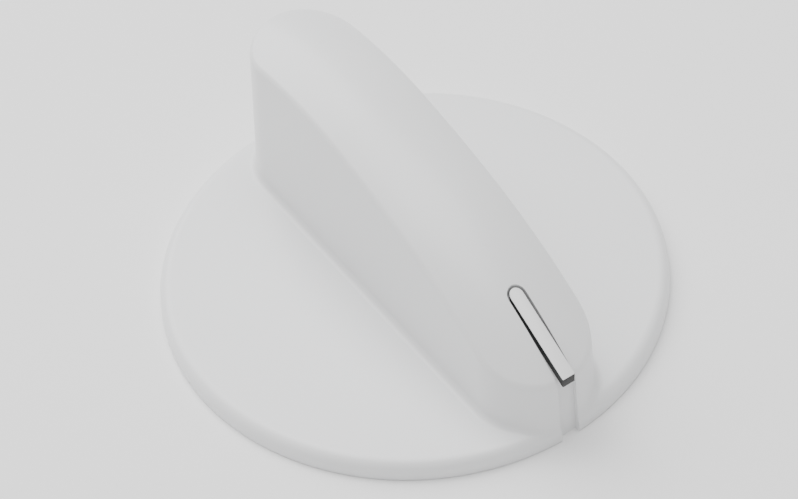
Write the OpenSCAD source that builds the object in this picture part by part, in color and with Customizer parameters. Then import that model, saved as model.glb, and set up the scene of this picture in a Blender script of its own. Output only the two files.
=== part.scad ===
// Push-on timer knob: a round skirt with a straight pointer grip across it.
// Origin: centre of the skirt's underside. +Z is up along the shaft, -Y is the pointer's nose.

/* [Skirt] */
// Outer diameter of the round skirt
skirt_d = 50; // [44:0.5:60]
// Height of the skirt's top face above its foot ring
skirt_h = 2.05; // [1.9:0.05:2.4]
// Rounding of the skirt's upper edge
skirt_edge_r = 1.2; // [0.6:0.1:1.4]
// Depth of the recess in the skirt's underside
under_recess = 0.6; // [0.3:0.1:0.8]
// Width of the foot ring that rests on the panel
foot_ring_w = 2.2; // [1.6:0.1:4]

/* [Grip] */
// Half width of the grip at the skirt's underside
grip_half_w = 6.03; // [5.7:0.01:6.4]
// Draft of the grip's sides in degrees
grip_draft = 1.9; // [1:0.1:2.5]
// Height of the grip's highest line
grip_top_z = 19.9; // [19.4:0.1:20.6]
// Distance of the highest point behind the shaft axis
grip_top_y = 11.8; // [10.5:0.1:13]
// Radius of the crown across the grip's top
crown_r = 11.0; // [9:0.5:20]
// Lengthwise radius of the top, back part
top_back_r = 44; // [42:1:48]
// Lengthwise radius of the top, middle part
top_mid_r = 108; // [90:1:140]
// Lengthwise radius of the top, front part
top_front_r = 52; // [50:1:56]
// Where the back part of the top meets the middle part
top_joint_back_y = 3.8; // [2:0.1:5]
// Where the middle part of the top meets the front part
top_joint_front_y = -5.8; // [-7:0.1:-4.5]
// Centre of the rounded back end at the foot
back_centre_y = 17.9; // [17:0.1:18.2]
// Lean of the back end in degrees
back_lean = 2.6; // [1:0.1:3.5]
// Lean of the nose in degrees
nose_lean = 3.7; // [2:0.1:4.5]
// Radius of the fillet where the grip meets the skirt
foot_fillet_r = 0.8; // [0.4:0.1:1.1]
// Wall of the grip around its inner pockets
wall = 1.8; // [1.5:0.1:2]
// Thickness of the grip's roof over its inner pockets
roof = 2.6; // [2.4:0.1:3]
// Thickness of the rib in the back pocket
rib_t = 1.4; // [1:0.1:1.8]

/* [Hub] */
// Outer radius of the hub
hub_r = 5.0; // [4.6:0.1:5.6]
// Height of the hub's lower face above the foot ring
hub_z = 0.2; // [0.1:0.1:0.3]
// Radius of the round entry of the shaft bore
entry_r = 3.4; // [3.3:0.05:3.6]
// Length of the round entry
entry_len = 4.0; // [3.5:0.5:5]
// Radius of the keyed part of the shaft bore
key_r = 3.03; // [3.01:0.01:3.04]
// Distance of the bore's flat from the shaft axis
flat_y = 1.65; // [1.6:0.01:1.7]
// Top of the shaft bore above the foot ring
bore_top_z = 13.2; // [12.5:0.1:14]

/* [Shaft spring] */
// Width of the leaf spring
leaf_w = 4.5; // [4:0.1:4.6]
// Thickness of the leaf spring
leaf_t = 0.4; // [0.3:0.05:0.5]
// Bow of the leaf spring towards the shaft
leaf_bow = 0.3; // [0.2:0.05:0.35]

/* [Pointer] */
// Width of the pointer insert
insert_w = 1.4; // [1.2:0.05:1.5]
// Width of the groove that holds the insert
groove_w = 1.9; // [1.8:0.05:2.1]
// Back end of the groove
groove_back_y = -16.05; // [-17:0.05:-15.5]
// Front end of the insert
insert_front_y = -24.55; // [-24.8:0.05:-24.3]
// Height of the insert's top face at its back end
insert_back_z = 12.75; // [12.6:0.05:12.8]
// Fall of the insert's top face in degrees
insert_fall = 28.3; // [27:0.1:29]
// Thickness of the insert's strip, measured upright
insert_t = 1.0; // [0.9:0.05:1.1]
// Width of the open channel down the nose
channel_w = 2.0; // [1.8:0.05:2.2]
// Depth of the open channel into the nose
channel_d = 0.55; // [0.4:0.05:0.7]
// Radius of the insert's two locating pegs
peg_r = 0.6; // [0.5:0.05:0.65]
// Length of the pegs under the strip
peg_l = 1.8; // [1.5:0.1:2]

/* [Hidden] */
$fn = 96;
eps = 0.01;
step = 0.008;
skirt_r = skirt_d / 2;
// Places of the two pegs along the groove
peg_ys = [-18.4, -21.4];

// Grip half width at height z
function half_w(z) = grip_half_w - z * tan(grip_draft);
// Centres of the two round ends at height z
nose_centre_y = -skirt_r + grip_half_w;
function back_cy(z) = back_centre_y - z * tan(back_lean);
function nose_cy(z) = nose_centre_y + z * tan(nose_lean);

// Three lengthwise arcs of the top, each tangent to the next.
// Angles are measured at each arc's centre from straight up towards the nose.
ang_a = asin((grip_top_y - top_joint_back_y) / top_back_r);
za = grip_top_z - top_back_r * (1 - cos(ang_a));
arc_a_y = grip_top_y;
arc_a_z = grip_top_z - top_back_r;
arc_b_y = top_joint_back_y + top_mid_r * sin(ang_a);
arc_b_z = za - top_mid_r * cos(ang_a);
ang_b = asin(sin(ang_a) + (top_joint_back_y - top_joint_front_y) / top_mid_r);
zb = arc_b_z + top_mid_r * cos(ang_b);
arc_c_y = top_joint_front_y + top_front_r * sin(ang_b);
arc_c_z = zb - top_front_r * cos(ang_b);

// Height of the top's middle line in front of the second joint
function front_top_z(y) = arc_c_z + sqrt(top_front_r * top_front_r - (arc_c_y - y) * (arc_c_y - y));
// Height of the insert's top face
function insert_z(y) = insert_back_z - (groove_back_y - y) * tan(insert_fall);

// One lengthwise sector of the crowned top: everything under the surface,
// down to an inner radius. cut lowers the surface for the inner pockets.
module top_sector(cy, cz, r, inner, a0, a1, cut, w) {
    translate([0, cy, cz]) rotate([180, -90, 0]) rotate([0, 0, a0])
        rotate_extrude(angle = a1 - a0) intersection() {
            union() {
                translate([r - crown_r, 0]) circle(crown_r - cut);
                translate([inner, -w]) square([r - crown_r - inner, 2 * w]);
            }
            translate([inner, -w]) square([r - inner + 2, 2 * w]);
        }
}

// Everything under the grip's crowned top. The back and front sectors run on
// under the middle one and lie a hair lower, so each crosses its end cleanly.
module under_top(cut = 0) {
    top_sector(arc_a_y, arc_a_z, top_back_r, 8, -34, ang_a + 5, cut + step, 8);
    top_sector(arc_b_y, arc_b_z, top_mid_r, 70, ang_a, ang_b, cut, 8.5);
    top_sector(arc_c_y, arc_c_z, top_front_r, 26, ang_b - 5, 50, cut + step, 9);
}

// Drafted stadium of the grip, inset by t all round, from z0 up
module grip_form(t, z0) {
    zt = 24;
    intersection() {
        union() {
            // rounded back end
            translate([0, back_centre_y, 0]) rotate([back_lean, 0, 0])
                translate([0, 0, -3]) cylinder(h = zt + 3, r1 = half_w(-3) - t, r2 = half_w(zt) - t);
            // rounded nose
            translate([0, nose_centre_y, 0]) rotate([-nose_lean, 0, 0])
                translate([0, 0, -3]) cylinder(h = zt + 3, r1 = half_w(-3) - t, r2 = half_w(zt) - t);
            // straight sides between them
            intersection() {
                rotate([90, 0, 0]) translate([0, 0, -30]) linear_extrude(60)
                    polygon([[-half_w(-3) + t, -3], [half_w(-3) - t, -3],
                             [half_w(zt) - t, zt], [-half_w(zt) + t, zt]]);
                rotate([90, 0, 90]) translate([0, 0, -10]) linear_extrude(20)
                    polygon([[nose_cy(-3), -3], [back_cy(-3), -3], [back_cy(zt), zt], [nose_cy(zt), zt]]);
            }
        }
        translate([-15, -skirt_r - 5, z0]) cube([30, skirt_d + 10, 30]);
    }
}

// Solid grip with its crowned top
module grip_solid() {
    intersection() {
        grip_form(0, 0);
        under_top();
        cylinder(h = 30, r = skirt_r);
    }
}

// Round skirt with a bull-nosed upper edge
module skirt_solid() {
    rotate_extrude() {
        square([skirt_r - skirt_edge_r, skirt_h]);
        translate([skirt_r - skirt_edge_r - eps, 0]) square([skirt_edge_r + eps, skirt_h - skirt_edge_r]);
        intersection() {
            translate([skirt_r - skirt_edge_r, skirt_h - skirt_edge_r]) circle(skirt_edge_r);
            translate([skirt_r - skirt_edge_r - eps, skirt_h - skirt_edge_r - eps])
                square([skirt_edge_r + 1, skirt_edge_r + 1]);
        }
    }
}

// Section of the concave fillet, its corner at the origin
module fillet_section() {
    f = foot_fillet_r;
    difference() {
        translate([-0.3, -0.3]) square([f + 0.3, f + 0.3]);
        translate([f, f]) circle(f);
    }
}

// Fillet around the foot of the grip
module foot_fillet() {
    w = half_w(skirt_h);
    yb = back_cy(skirt_h);
    yn = nose_cy(skirt_h);
    intersection() {
        union() {
            translate([0, yb, skirt_h]) rotate_extrude(angle = 180) translate([w, 0]) fillet_section();
            translate([0, yn, skirt_h]) rotate([0, 0, 180]) rotate_extrude(angle = 180)
                translate([w, 0]) fillet_section();
            for (s = [0, 1]) mirror([s, 0, 0])
                translate([w, yb, skirt_h]) rotate([90, 0, 0]) linear_extrude(yb - yn) fillet_section();
        }
        cylinder(h = 30, r = skirt_r - skirt_edge_r);
    }
}

// Inner pockets of the grip on both sides of the hub
module pockets() {
    difference() {
        intersection() {
            grip_form(wall, -1);
            under_top(roof);
        }
        // hub stays
        translate([0, 0, -2]) cylinder(h = 30, r = hub_r);
        // lengthwise rib in the back pocket
        translate([-rib_t / 2, 0, under_recess + 0.4]) cube([rib_t, 30, 30]);
    }
}

// Shaft bore: round entry, keyed part above it, and the pocket of the leaf spring
module shaft_bore() {
    translate([0, 0, -1]) cylinder(h = 1 + hub_z + entry_len, r = entry_r);
    intersection() {
        cylinder(h = bore_top_z, r = key_r);
        translate([-10, -10, 0]) cube([20, 10 + flat_y, bore_top_z]);
    }
    // leaf pocket
    translate([-leaf_w / 2 - 0.1, 1, -1]) cube([leaf_w + 0.2, 1.4, bore_top_z + 1]);
}

// Groove for the insert, as wide as w, with its floor a distance d under the insert's top face
module groove(w, d) {
    r = w / 2;
    cy = groove_back_y - groove_w / 2;
    intersection() {
        union() {
            translate([0, cy, 0]) cylinder(h = 30, r = r);
            translate([-r, -skirt_r - 5, 0]) cube([w, skirt_r + 5 + cy, 30]);
        }
        rotate([90, 0, 90]) translate([0, 0, -5]) linear_extrude(10)
            polygon([[-15, insert_z(-15) - d], [-15, 30], [-32, 30], [-32, insert_z(-32) - d]]);
    }
}

// Open channel down the nose and through the skirt's edge
module nose_channel() {
    translate([0, -skirt_r, 0]) rotate([-nose_lean - grip_draft, 0, 0])
        translate([-channel_w / 2, channel_d - 4, -2]) cube([channel_w, 4, 12]);
}

module knob_body() color([0.93, 0.94, 0.94]) {
    difference() {
        union() {
            difference() {
                union() {
                    skirt_solid();
                    grip_solid();
                    foot_fillet();
                }
                // shallow recess under the skirt
                translate([0, 0, -1]) cylinder(h = 1 + under_recess, r = skirt_r - foot_ring_w);
                pockets();
            }
            // hub reaches down into the recess
            translate([0, 0, hub_z]) cylinder(h = 3, r = hub_r);
            // bridge behind the channel, so the foot ring stays closed there
            intersection() {
                translate([-3, -skirt_r, 0]) cube([6, 4.5, skirt_h]);
                cylinder(h = 5, r = skirt_r);
                grip_form(0, 0);
            }
        }
        shaft_bore();
        groove(groove_w, insert_t);
        nose_channel();
        for (y = peg_ys)
            translate([0, y, insert_z(y) - insert_t - peg_l - 0.2]) cylinder(h = 20, r = peg_r + 0.05);
    }
}

module pointer_insert() color([0.05, 0.05, 0.05]) {
    difference() {
        intersection() {
            groove(insert_w, insert_t);
            translate([-5, insert_front_y, 0]) cube([10, 20, 30]);
        }
        // sloping top face
        rotate([90, 0, 90]) translate([0, 0, -5]) linear_extrude(10)
            polygon([[-14, insert_z(-14)], [-14, 40], [-32, 40], [-32, insert_z(-32)]]);
    }
    // locating pegs
    for (y = peg_ys)
        translate([0, y, insert_z(y) - insert_t - peg_l]) cylinder(h = peg_l + insert_t / 2, r = peg_r);
}

module shaft_spring() color([0.6, 0.6, 0.62]) {
    z0 = hub_z + entry_len + 0.9;
    z1 = bore_top_z - 0.2;
    hl = (z1 - z0) / 2;
    br = (hl * hl + leaf_bow * leaf_bow) / (2 * leaf_bow);
    intersection() {
        translate([-leaf_w / 2, 1.56 + br, (z0 + z1) / 2]) rotate([0, 90, 0]) difference() {
            cylinder(h = leaf_w, r = br, $fn = 200);
            translate([0, 0, -1]) cylinder(h = leaf_w + 2, r = br - leaf_t, $fn = 200);
        }
        translate([-5, 1, z0]) cube([10, 3, z1 - z0]);
    }
}

knob_body();
pointer_insert();
shaft_spring();
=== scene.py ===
import math

import bpy
import numpy as np
from mathutils import Matrix, Vector


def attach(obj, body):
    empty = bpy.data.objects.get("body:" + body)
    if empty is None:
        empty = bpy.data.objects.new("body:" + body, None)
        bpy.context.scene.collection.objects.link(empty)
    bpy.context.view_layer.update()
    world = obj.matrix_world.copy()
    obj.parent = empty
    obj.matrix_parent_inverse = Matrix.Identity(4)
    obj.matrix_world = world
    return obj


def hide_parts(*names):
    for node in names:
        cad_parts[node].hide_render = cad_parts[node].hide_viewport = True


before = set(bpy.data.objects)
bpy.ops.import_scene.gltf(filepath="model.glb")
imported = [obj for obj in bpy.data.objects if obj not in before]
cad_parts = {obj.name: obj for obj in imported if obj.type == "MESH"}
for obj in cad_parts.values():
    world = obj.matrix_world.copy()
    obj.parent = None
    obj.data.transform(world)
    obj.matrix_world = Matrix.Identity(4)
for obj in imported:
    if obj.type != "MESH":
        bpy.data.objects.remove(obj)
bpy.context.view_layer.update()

MM = 0.001

# ---------------------------------------------------------------- sizes, in millimetres
SKIRT_R, SKIRT_H, RIM_R = 25.0, 2.05, 1.2
HALF_W, DRAFT = 6.03, math.tan(math.radians(1.9))
NOSE_Y, NOSE_T = -18.97, math.tan(math.radians(3.7))
BACK_Y, BACK_T = 17.9, math.tan(math.radians(2.6))
FILLET = 0.8
EDGE = 0.34
CROWN = 11.0
Y0, Z0, RA, RB, RC, JA, JB = 11.8, 19.9, 44.0, 108.0, 52.0, 3.8, -5.8
_sa = (Y0 - JA) / RA
ANG_A = math.asin(_sa)
_za = Z0 - RA * (1 - math.cos(ANG_A))
CA = (Y0, Z0 - RA)
CB = (JA + RB * _sa, _za - RB * math.cos(ANG_A))
_sb = _sa + (JA - JB) / RB
ANG_B = math.asin(_sb)
_zb = CB[1] + RB * math.cos(ANG_B)
CC = (JB + RC * _sb, _zb - RC * math.cos(ANG_B))

GROOVE_W, GROOVE_BACK = 1.9, -16.05
INS_BACK_Z, INS_FALL = 12.75, math.tan(math.radians(28.3))
INS_FRONT_Y, INS_W, INS_T = -24.55, 1.4, 1.0


def half_w(z):
    return HALF_W - z * DRAFT


def yn(z):
    return NOSE_Y + z * NOSE_T


def yb(z):
    return BACK_Y - z * BACK_T


def insert_z(y):
    return INS_BACK_Z - (GROOVE_BACK - y) * INS_FALL


# ---------------------------------------------------------------- the moulding's surface as a distance field
def f_wall(p, t=0.0):
    x, y, z = p[:, 0], p[:, 1], p[:, 2]
    a, b = yn(z), yb(z)
    dy = np.where(y < a, y - a, np.where(y > b, y - b, 0.0))
    return (np.hypot(x, dy) - half_w(z) + t) * math.cos(math.atan(DRAFT))


def f_top(p, cut=0.0):
    x, y, z = p[:, 0], p[:, 1], p[:, 2]
    out = None
    ang = np.arctan2(CB[0] - y, z - CB[1])
    for (cy, cz), r, where in ((CA, RA, ang < ANG_A), (CB, RB, (ang >= ANG_A) & (ang <= ANG_B)), (CC, RC, ang > ANG_B)):
        rho = np.hypot(y - cy, z - cz)
        d = np.hypot(x, np.maximum(rho - (r - CROWN), 0.01)) - CROWN + cut
        out = np.where(where, d, out if out is not None else 0.0)
    return out


def both(a, b, r):
    """Inside both, with the edge rounded to radius r."""
    return np.minimum(-r, np.maximum(a, b)) + np.hypot(np.maximum(a + r, 0), np.maximum(b + r, 0))


def f_grip(p):
    return both(f_wall(p), f_top(p), EDGE)


def f_skirt(p):
    rho = np.hypot(p[:, 0], p[:, 1])
    return both(rho - SKIRT_R, p[:, 2] - SKIRT_H, RIM_R)


def grad(f, p, h=0.004):
    g = np.empty_like(p)
    for i in range(3):
        e = np.zeros(3)
        e[i] = h
        g[:, i] = (f(p + e) - f(p - e)) / (2 * h)
    n = np.linalg.norm(g, axis=1)
    n[n < 1e-9] = 1
    return g / n[:, None], n


def f_body(p):
    a, b = f_grip(p), f_skirt(p)
    near = (np.abs(a) < 2) & (np.abs(b) < 2)
    r = np.full(len(p), FILLET)
    if near.any():
        q = p[near]
        ga, _ = grad(f_grip, q)
        gb, _ = grad(f_skirt, q)
        r[near] = FILLET * np.clip(1.0 - (ga * gb).sum(1), 0.03, 1.0)
    return np.maximum(r, np.minimum(a, b)) - np.hypot(np.maximum(r - a, 0), np.maximum(r - b, 0))


def settle(f, p, steps=6):
    """Moves points onto the surface f = 0, along its slope."""
    p = p.copy()
    for _ in range(steps):
        g, n = grad(f, p)
        d = np.clip(f(p) / n, -0.3, 0.3)
        p -= g * d[:, None]
    return p


def top_z(x, y, cut=0.0):
    """Height of the crowned top over (x, y)."""
    x, y = np.broadcast_arrays(np.asarray(x, float), np.asarray(y, float))
    k = np.sqrt(np.maximum((CROWN - cut) ** 2 - x * x, 0.0))
    zs = []
    for (cy, cz), r in ((CA, RA), (CB, RB), (CC, RC)):
        zs.append(cz + np.sqrt(np.maximum((r - CROWN + k) ** 2 - (y - cy) ** 2, 0.0)))
    za, zb, zc = zs
    ang_b = np.arctan2(CB[0] - y, zb - CB[1])
    return np.where(ang_b < ANG_A, za, np.where(ang_b > ANG_B, zc, zb))


# ---------------------------------------------------------------- outline stations round the grip
def stations(n_back, n_nose, n_side):
    """(kind, share along the middle line, direction) for each station, once round anticlockwise."""
    out = []
    for i in range(n_back):
        out.append((1.0, math.pi * i / n_back))
    for i in range(n_side):
        out.append((1.0 - i / n_side, math.pi))
    for i in range(n_nose):
        out.append((0.0, math.pi + math.pi * i / n_nose))
    for i in range(n_side):
        out.append((i / n_side, 0.0))
    s = np.array(out)
    return s[:, 0], np.cos(s[:, 1]), np.sin(s[:, 1])


def centre(share, z):
    return yn(z) * (1 - share) + yb(z) * share


def edge_height(share, nx, ny, t=0.0, cut=0.0):
    """Height at which the wall meets the crowned top, at each station."""
    lo, hi = np.full(len(share), -2.0), np.full(len(share), 24.0)
    for _ in range(40):
        m = (lo + hi) / 2
        w = half_w(m) - t
        p = np.stack([w * nx, centre(share, m) + w * ny, m], 1)
        inside = f_top(p, cut) < 0
        lo, hi = np.where(inside, m, lo), np.where(inside, hi, m)
    return (lo + hi) / 2


def grid_mesh(name, rings, top_pole, bottom_pole, share):
    """Closed mesh from rings of points, all with one point per station. A pole row lies along the middle line."""
    n = len(share)
    verts = np.concatenate(rings)
    faces = []
    for k in range(len(rings) - 1):
        a, b = k * n, (k + 1) * n
        for i in range(n):
            j = (i + 1) % n
            faces.append((a + i, b + i, b + j, a + j))
    me = bpy.data.meshes.new(name)
    me.from_pydata((verts * MM).tolist(), [], faces)
    me.validate()
    return me


def tidy(me, dist=2e-7):
    """Merges doubled points and drops faces with no area."""
    import bmesh

    bm = bmesh.new()
    bm.from_mesh(me)
    bmesh.ops.remove_doubles(bm, verts=bm.verts, dist=dist)
    bmesh.ops.dissolve_degenerate(bm, edges=bm.edges, dist=dist)
    bmesh.ops.recalc_face_normals(bm, faces=bm.faces)
    open_edges = sum(1 for e in bm.edges if not e.is_manifold)
    bm.to_mesh(me)
    bm.free()
    return open_edges


def new_object(name, me):
    o = bpy.data.objects.new(name, me)
    bpy.context.scene.collection.objects.link(o)
    return o


def outer_mesh():
    share, nx, ny = stations(96, 128, 92)
    ze = edge_height(share, nx, ny)
    we = half_w(ze)
    ex, ey = we * nx, centre(share, ze) + we * ny
    rings = []
    # crowned top, from the middle line outwards
    cz = np.where(share >= 1, yb(18.9), np.where(share <= 0, yn(8.0), centre(share, ze)))
    inner = 1 - 1.15 * EDGE / 5.5
    for s in np.r_[np.linspace(0, 1, 17) ** 0.9 * inner]:
        x, y = ex * s, cz + (ey - cz) * s
        rings.append(np.stack([x, y, top_z(x, y)], 1))
    # rounded top edge: in from the edge, then down from it
    for a in (0.75, 0.5, 0.27, 0.08):
        k = 1 - 1.15 * EDGE * a / 5.5
        x, y = ex * k, cz + (ey - cz) * k
        rings.append(np.stack([x, y, top_z(x, y)], 1))
    for a in (0.08, 0.27, 0.5, 0.75, 1.0):
        z = ze - 1.15 * EDGE * a
        w = half_w(z)
        rings.append(np.stack([w * nx, centre(share, z) + w * ny, z], 1))
    # where the wall meets the skirt's own section, and how far the fillet reaches from there.
    # q runs along that section: out over the flat, round the rim's edge and down.
    c0 = centre(share, SKIRT_H)
    w0 = half_w(SKIRT_H)

    def reach(rho, c):
        """Distance from the middle line to the circle of radius rho."""
        k = c * ny
        return -k + np.sqrt(np.maximum(k * k - (c * c - rho * rho), 0.0))

    q_flat = reach(SKIRT_R - RIM_R, c0)
    q_round = q_flat + RIM_R * math.pi / 2
    q_low = q_round + SKIRT_H - RIM_R - 0.12

    def skirt_point(q):
        over = np.maximum(q - q_flat, 0)
        ang = np.minimum(over / RIM_R, math.pi / 2)
        z = SKIRT_H - RIM_R * (1 - np.cos(ang)) - np.maximum(over - RIM_R * math.pi / 2, 0)
        c = centre(share, z)
        t = np.where(over > 0, reach(SKIRT_R - RIM_R + RIM_R * np.sin(ang), c), q)
        return np.stack([t * nx, c + t * ny, z], 1), ang

    lo, hi = q_flat.copy(), q_low.copy()
    for _ in range(40):
        mid = (lo + hi) / 2
        inside = f_wall(skirt_point(mid)[0]) < 0
        lo, hi = np.where(inside, mid, lo), np.where(inside, hi, mid)
    q_p = np.where(w0 < q_flat, w0, lo)
    meet, ang = skirt_point(q_p)
    z_p = meet[:, 2]
    gw, _ = grad(f_wall, meet)
    rad = meet[:, :2] / np.hypot(meet[:, 0], meet[:, 1])[:, None]
    gs = np.concatenate([rad * np.sin(ang)[:, None], np.cos(ang)[:, None]], 1)
    dot = np.clip((gw * gs).sum(1), -1, 1)
    ext = FILLET * np.clip(1 - dot, 0.03, 1) * np.tan(np.arccos(dot) / 2)
    # wall down to the fillet
    zf = z_p + ext * 1.03
    top = ze - 1.15 * EDGE
    for a in np.linspace(0, 1, 16)[1:]:
        z = top + (zf - top) * a
        w = half_w(z)
        rings.append(np.stack([w * nx, centre(share, z) + w * ny, z], 1))
    for a in (0.72, 0.46, 0.24, 0.08):
        z = z_p + ext * a
        w = half_w(z)
        rings.append(np.stack([w * nx, centre(share, z) + w * ny, z], 1))
    for a in (0.08, 0.24, 0.46, 0.72, 1.03):
        rings.append(skirt_point(q_p + ext * a)[0])
    # flat, rim and side, each run pushed on where the fillet has taken its place
    q0 = q_p + ext * 1.03
    q1 = np.maximum(q_flat, q0 + 0.2 * np.maximum(q_round - q0, 0.05))
    q2 = np.maximum(q_round, q1 + 0.05)
    q3 = np.maximum(q_low, q2 + 0.05)
    for qa, qb, k in ((q0, q1, 13), (q1, q2, 11), (q2, q3, 4)):
        for a in np.linspace(0, 1, k)[1:]:
            rings.append(skirt_point(qa + (qb - qa) * a)[0])
    n = len(nx)
    flat = np.concatenate(rings)
    moved = settle(f_body, flat, 7)
    moved[:, 2] = np.maximum(moved[:, 2], 0.02)
    rings = [moved[i * n:(i + 1) * n] for i in range(len(rings))]
    # the middle line keeps its place along Y
    r0 = rings[0]
    r0[:, 0] = 0
    r0[:, 1] = cz
    r0[:, 2] = top_z(0 * cz, cz)
    # small break of the lower edge, then the flat underside in to the middle line
    t = reach(SKIRT_R, c0)
    base = rings[-1]
    for r_in, z in ((0.035, 0.035), (0.12, 0.0)):
        rho = SKIRT_R - r_in
        t = reach(rho, c0)
        rings.append(np.stack([t * nx, c0 + t * ny, np.full(n, z)], 1))
    del base
    for s in (0.5, 0.0):
        t = reach(SKIRT_R - 0.12, c0) * s
        rings.append(np.stack([t * nx, c0 + t * ny, np.zeros(n)], 1))
    me = grid_mesh("knob_shell", rings, True, True, share)
    left = tidy(me)
    print("outer shell: faces", len(me.polygons), "open edges", left)
    return me


def inset_mesh(t, cut, round_r):
    """Closed solid like the grip, inset by t at the walls and by cut at the top, from z = -1 up."""
    share, nx, ny = stations(40, 40, 40)
    ze = edge_height(share, nx, ny, t, cut)
    we = half_w(ze) - t
    ex, ey = we * nx, centre(share, ze) + we * ny
    cz = np.where(share >= 1, yb(16.0), np.where(share <= 0, yn(5.0), centre(share, ze)))
    rings = []
    for s in (0, 0.2, 0.4, 0.6, 0.78, 0.9):
        x, y = ex * s, cz + (ey - cz) * s
        rings.append(np.stack([x, y, top_z(x, y, cut)], 1))
    for a in (0.06, 0.3, 0.6, 1.0):
        z = ze - round_r * a
        w = half_w(z) - t
        rings.append(np.stack([w * nx, centre(share, z) + w * ny, z], 1))
    for a in np.linspace(0, 1, 8)[1:]:
        z = (ze - round_r) * (1 - a) - 1.0 * a
        w = half_w(z) - t
        rings.append(np.stack([w * nx, centre(share, z) + w * ny, z], 1))
    c1 = centre(share, -1.0)
    rings.append(np.stack([0 * nx, c1, np.full(len(nx), -1.0)], 1))
    me = grid_mesh("pocket", rings, True, True, share)
    tidy(me)
    return me


def lathe_mesh(name, profile, n=128, at=(0, 0)):
    """Closed solid from a profile of (radius, height) points, turned round the Z axis at the given place."""
    verts, faces = [], []
    idx = []
    for r, z in profile:
        row = []
        if r < 1e-9:
            row = [len(verts)] * n
            verts.append((at[0], at[1], z))
        else:
            for i in range(n):
                a = 2 * math.pi * i / n
                row.append(len(verts))
                verts.append((at[0] + r * math.cos(a), at[1] + r * math.sin(a), z))
        idx.append(row)
    for a, b in zip(idx[:-1], idx[1:]):
        for i in range(n):
            j = (i + 1) % n
            f = []
            for v in (a[i], a[j], b[j], b[i]):
                if v not in f:
                    f.append(v)
            if len(f) > 2:
                faces.append(tuple(f))
    me = bpy.data.meshes.new(name)
    me.from_pydata((np.array(verts) * MM).tolist(), [], faces)
    tidy(me)
    return me


def prism_mesh(name, outline, lower, upper, shift=(0, 0)):
    """Closed solid: an outline of (x, y) points carried from heights lower(x, y) to upper(x, y)."""
    n = len(outline)
    lo = [(x, y, lower(x, y)) for x, y in outline]
    hi = [(x, y, upper(x, y)) for x, y in outline]
    faces = [tuple(range(n))[::-1], tuple(range(n, 2 * n))]
    faces += [(i, (i + 1) % n, n + (i + 1) % n, n + i) for i in range(n)]
    me = bpy.data.meshes.new(name)
    me.from_pydata((np.array(lo + hi) * MM).tolist(), [], faces)
    tidy(me)
    return me


def carve(target, cutter_mesh, op="DIFFERENCE"):
    """Cuts the cutter out of the target, or keeps what both hold."""
    c = new_object("cutter", cutter_mesh)
    m = target.modifiers.new("cut", "BOOLEAN")
    m.operation = op
    m.solver = "EXACT"
    m.object = c
    bpy.context.view_layer.update()
    dg = bpy.context.evaluated_depsgraph_get()
    me = bpy.data.meshes.new_from_object(target.evaluated_get(dg))
    target.modifiers.clear()
    old = target.data
    target.data = me
    bpy.data.meshes.remove(old)
    bpy.data.objects.remove(c)


def slot_outline(w, y_back, y_front, n=24):
    """Groove seen from above: straight sides, round at the back end."""
    r = w / 2
    cy = y_back - r
    pts = [(r * math.cos(a), cy + r * math.sin(a)) for a in np.linspace(0, math.pi, n)]
    return pts + [(-r, y_front), (r, y_front)]


def box_mesh(name, lo, hi, turn=0.0, about=(0, 0, 0)):
    """Box between two corners, turned about the X axis through a point."""
    v = np.array([(x, y, z) for z in (lo[2], hi[2]) for y in (lo[1], hi[1]) for x in (lo[0], hi[0])], float)
    a = np.array(about, float)
    c, s = math.cos(turn), math.sin(turn)
    d = v - a
    v = np.stack([d[:, 0], c * d[:, 1] - s * d[:, 2], s * d[:, 1] + c * d[:, 2]], 1) + a
    faces = [(0, 2, 3, 1), (4, 5, 7, 6), (0, 1, 5, 4), (2, 6, 7, 3), (0, 4, 6, 2), (1, 3, 7, 5)]
    me = bpy.data.meshes.new(name)
    me.from_pydata((v * MM).tolist(), [], faces)
    tidy(me)
    return me


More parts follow.
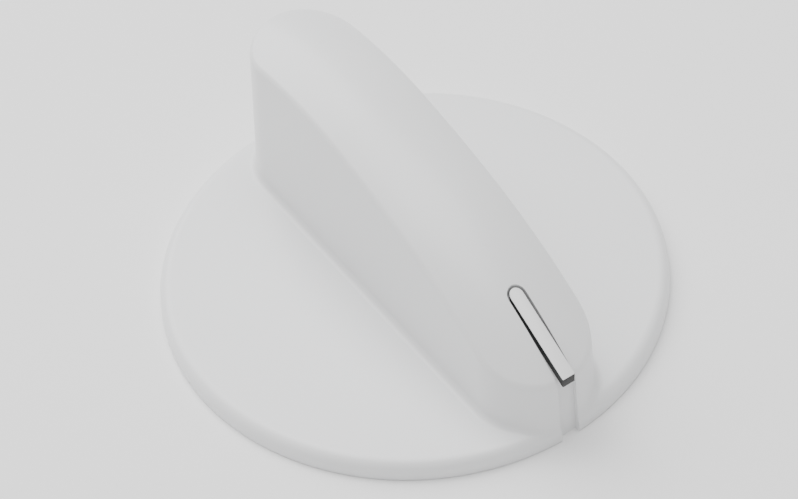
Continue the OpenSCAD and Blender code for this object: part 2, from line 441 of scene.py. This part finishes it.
# ---------------------------------------------------------------- the moulding
def make_body():
    body = new_object("knob_moulding", outer_mesh())
    # open channel down the nose's front and through the rim
    rake = -math.radians(3.7 + 1.9)
    carve(body, box_mesh("channel", (-1.0, -SKIRT_R - 4, -2), (1.0, -SKIRT_R + 0.55, 10), rake, (0, -SKIRT_R, 0)))
    # underside: recess with the hub standing in it
    carve(body, lathe_mesh("recess", [(0, -1), (22.8, -1), (22.8, 0.52), (22.72, 0.6), (5.08, 0.6), (5.0, 0.52), (5.0, 0.2), (0, 0.2)], 192))
    pocket = new_object("pocket", inset_mesh(1.8, 2.6, 0.2))
    carve(pocket, lathe_mesh("hub", [(0, -2), (5.0, -2), (5.0, 30), (0, 30)], 96))
    carve(pocket, box_mesh("rib", (-0.7, 0, 1.0), (0.7, 30, 30)))
    carve(pocket, box_mesh("bridge", (-3, -25.5, -3), (3, -20.5, 2.05)))
    carve(body, pocket.data.copy())
    bpy.data.objects.remove(pocket)
    # shaft bore: round entry, D part and the leaf's slot
    carve(body, lathe_mesh("entry", [(0, -1), (3.6, -1), (3.6, 0.2), (3.4, 0.4), (3.4, 4.2), (0, 4.2)], 96))
    a0 = math.asin(1.65 / 3.03)
    d = [(3.03 * math.cos(a), 3.03 * math.sin(a)) for a in np.linspace(math.pi - a0, 2 * math.pi + a0, 80)]
    carve(body, prism_mesh("keyed", d, lambda x, y: 0.5, lambda x, y: 13.2))
    carve(body, box_mesh("leaf_slot", (-2.35, 1.0, -1), (2.35, 2.4, 13.2)))
    # groove in the nose, its floor sloping like the insert's top, and the peg holes under it
    carve(body, prism_mesh("groove", slot_outline(GROOVE_W, GROOVE_BACK, -32), lambda x, y: insert_z(y) - INS_T, lambda x, y: 30.0))
    for y in (-18.4, -21.4):
        z = insert_z(y) - INS_T
        carve(body, lathe_mesh("peg_hole", [(0, z - 2.0), (0.65, z - 2.0), (0.65, z + 0.8), (0, z + 0.8)], 32, (0, y)))
    me = body.data
    tidy(me, 1e-7)
    return body


def dress_normals(obj, f, angle=28.0):
    """Smooth shading with the true slope of the surface f on the points that lie on it, and sharp cut edges."""
    me = obj.data
    me.shade_smooth()
    n = len(me.vertices)
    co = np.empty(n * 3, np.float32)
    me.vertices.foreach_get("co", co)
    p = co.reshape(-1, 3).astype(float) / MM
    on = (np.abs(f(p)) < 0.02) & (p[:, 2] > 0.15)
    g, _ = grad(f, p)
    me.set_sharp_from_angle(angle=math.radians(angle))
    loops = len(me.loops)
    base = np.empty(loops * 3, np.float32)
    me.corner_normals.foreach_get("vector", base)
    base = base.reshape(-1, 3)
    vi = np.empty(loops, np.int32)
    me.loops.foreach_get("vertex_index", vi)
    fn = np.empty(len(me.polygons) * 3, np.float32)
    me.polygons.foreach_get("normal", fn)
    fn = fn.reshape(-1, 3)
    tot = np.empty(len(me.polygons), np.int32)
    me.polygons.foreach_get("loop_total", tot)
    face_of = np.repeat(np.arange(len(tot)), tot)
    gn = g[vi]
    whole = np.ones(len(tot), bool)
    np.logical_and.at(whole, face_of, on[vi])
    ok = whole[face_of] & ((gn * fn[face_of]).sum(1) > math.cos(math.radians(35)))
    out = np.where(ok[:, None], gn, base)
    me.normals_split_custom_set(out.tolist())


body = make_body()
dress_normals(body, f_body)
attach(body, "root")
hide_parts("knob_body")


# ---------------------------------------------------------------- the pointer strip
def make_insert():
    w = 0.69
    pts = slot_outline(2 * w, GROOVE_BACK - 0.2, INS_FRONT_Y)
    bev = 0.05
    rows = []
    # from the floor of the groove up: sides, small bevel, top
    prof = [(0.0, -INS_T + 0.02), (0.0, -bev), (0.3 * bev, -0.3 * bev), (bev, 0.0)]
    outline = []
    r = w
    cy = GROOVE_BACK - 0.2 - r
    for a in np.linspace(0, math.pi, 25):
        outline.append((math.cos(a), math.sin(a), 0))
    cr = 0.10
    for a in np.linspace(math.pi, 1.5 * math.pi, 6):
        outline.append((math.cos(a), math.sin(a), 1))
    for a in np.linspace(1.5 * math.pi, 2 * math.pi, 6):
        outline.append((math.cos(a), math.sin(a), 2))
    verts, faces = [], []
    for inset, dz in prof:
        for cx, sy, kind in outline:
            if kind == 0:
                x, y = (r - inset) * cx, cy + (r - inset) * sy
            else:
                k = cr - min(inset, cr * 0.9)
                sx = -1 if kind == 1 else 1
                x = sx * (r - cr) + k * cx
                y = INS_FRONT_Y + cr + k * sy
            verts.append((x, y, insert_z(y) + dz))
    n = len(outline)
    faces.append(tuple(range(n))[::-1])
    for k in range(len(prof) - 1):
        a, b = k * n, (k + 1) * n
        for i in range(n):
            j = (i + 1) % n
            faces.append((a + i, a + j, b + j, b + i))
    top = len(faces)
    k = (len(prof) - 1) * n
    faces.append(tuple(range(k, k + n)))
    me = bpy.data.meshes.new("pointer_strip")
    me.from_pydata((np.array(verts) * MM).tolist(), [], faces)
    mats = [0] * len(faces)
    for i in range(top - n, len(faces)):
        mats[i] = 1
    me.polygons.foreach_set("material_index", mats)
    me.update()
    me.shade_smooth()
    me.set_sharp_from_angle(angle=math.radians(40))
    o = new_object("pointer_strip", me)
    del rows, pts
    return o


insert = make_insert()
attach(insert, "root")
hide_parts("pointer_insert")


# ---------------------------------------------------------------- materials
def material(name, colour, rough):
    m = bpy.data.materials.new(name)
    m.use_nodes = True
    nt = m.node_tree
    b = nt.nodes["Principled BSDF"]
    b.inputs["Base Color"].default_value = (*colour, 1)
    b.inputs["Roughness"].default_value = rough
    return m, nt, b


def add(nt, kind, **values):
    n = nt.nodes.new(kind)
    for k, v in values.items():
        if k in n.inputs:
            n.inputs[k].default_value = v
        else:
            setattr(n, k, v)
    return n


def white_plastic():
    m, nt, b = material("white_plastic", (0.86, 0.865, 0.87), 0.3)
    co = add(nt, "ShaderNodeTexCoord")
    fine = add(nt, "ShaderNodeTexNoise", Scale=900.0, Detail=3.0)
    nt.links.new(co.outputs["Object"], fine.inputs["Vector"])
    ramp = add(nt, "ShaderNodeMapRange")
    ramp.inputs["To Min"].default_value = 0.27
    ramp.inputs["To Max"].default_value = 0.36
    nt.links.new(fine.outputs["Fac"], ramp.inputs["Value"])
    nt.links.new(ramp.outputs["Result"], b.inputs["Roughness"])
    bump = add(nt, "ShaderNodeBump", Strength=0.03, Distance=0.00002)
    nt.links.new(fine.outputs["Fac"], bump.inputs["Height"])
    nt.links.new(bump.outputs["Normal"], b.inputs["Normal"])
    return m


def simple(name, colour, rough, scale, lo, hi):
    m, nt, b = material(name, colour, rough)
    co = add(nt, "ShaderNodeTexCoord")
    fine = add(nt, "ShaderNodeTexNoise", Scale=scale, Detail=4.0)
    nt.links.new(co.outputs["Object"], fine.inputs["Vector"])
    ramp = add(nt, "ShaderNodeMapRange")
    ramp.inputs["To Min"].default_value = lo
    ramp.inputs["To Max"].default_value = hi
    nt.links.new(fine.outputs["Fac"], ramp.inputs["Value"])
    nt.links.new(ramp.outputs["Result"], b.inputs["Roughness"])
    return m


white = white_plastic()
black = simple("black_plastic", (0.012, 0.012, 0.012), 0.4, 1500.0, 0.35, 0.5)
mark = simple("white_mark", (0.93, 0.93, 0.93), 0.5, 1500.0, 0.4, 0.55)
steel = simple("spring_steel", (0.58, 0.59, 0.6), 0.3, 2500.0, 0.2, 0.4)
steel.node_tree.nodes["Principled BSDF"].inputs["Metallic"].default_value = 1.0

body.data.materials.clear()
body.data.materials.append(white)
insert.data.materials.append(black)
insert.data.materials.append(mark)
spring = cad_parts["shaft_spring"]
spring.data.materials.clear()
spring.data.materials.append(steel)

# ---------------------------------------------------------------- floor, light and camera
floor_me = bpy.data.meshes.new("floor")
floor_me.from_pydata([(-3, -3, 0), (3, -3, 0), (3, 3, 0), (-3, 3, 0)], [], [(0, 1, 2, 3)])
floor = new_object("floor", floor_me)
fm, fnt, fb = material("floor", (0.95, 0.95, 0.95), 0.8)
floor.data.materials.append(fm)

world = bpy.data.worlds.new("studio")
bpy.context.scene.world = world
world.use_nodes = True
world.node_tree.nodes["Background"].inputs["Color"].default_value = (1, 1, 1, 1)
world.node_tree.nodes["Background"].inputs["Strength"].default_value = 0.55


def softbox(name, place, aim, size, power, size_y=None):
    d = bpy.data.lights.new(name, "AREA")
    d.shape = "RECTANGLE"
    d.size = size
    d.size_y = size_y or size
    d.energy = power
    o = bpy.data.objects.new(name, d)
    bpy.context.scene.collection.objects.link(o)
    o.location = place
    o.rotation_mode = "QUATERNION"
    o.rotation_quaternion = (Vector(aim) - Vector(place)).to_track_quat("-Z", "Y")
    return o


softbox("back_light", (-0.1, 0.55, 0.55), (0, 0, 0), 0.7, 7.0)
softbox("top_light", (0.05, 0.05, 0.8), (0, 0, 0), 0.6, 5.0)

F_PX, AZ, EL, ROLL = 2050.0, math.radians(-31.814), math.radians(47.030), math.radians(-4.048)
OX, OY, DEPTH = 414.352, 275.601, 202.331
back = np.array([math.sin(AZ) * math.cos(EL), -math.cos(AZ) * math.cos(EL), math.sin(EL)])
fwd = -back
right = np.array([math.cos(AZ), math.sin(AZ), 0.0])
up = np.cross(right, fwd)
r2 = math.cos(ROLL) * right + math.sin(ROLL) * up
u2 = -math.sin(ROLL) * right + math.cos(ROLL) * up
t = np.array([(OX - 399.0) / F_PX * DEPTH, (OY - 249.5) / F_PX * DEPTH, DEPTH])
place = -(r2 * t[0] - u2 * t[1] + fwd * t[2]) * MM
cam_data = bpy.data.cameras.new("camera")
cam_data.sensor_width = 36.0
cam_data.lens = 36.0 * F_PX / 798.0
cam_data.clip_start, cam_data.clip_end = 0.005, 20.0
cam = bpy.data.objects.new("camera", cam_data)
bpy.context.scene.collection.objects.link(cam)
m = Matrix(((r2[0], u2[0], -fwd[0], place[0]), (r2[1], u2[1], -fwd[1], place[1]), (r2[2], u2[2], -fwd[2], place[2]), (0, 0, 0, 1)))
cam.matrix_world = m
bpy.context.scene.camera = cam
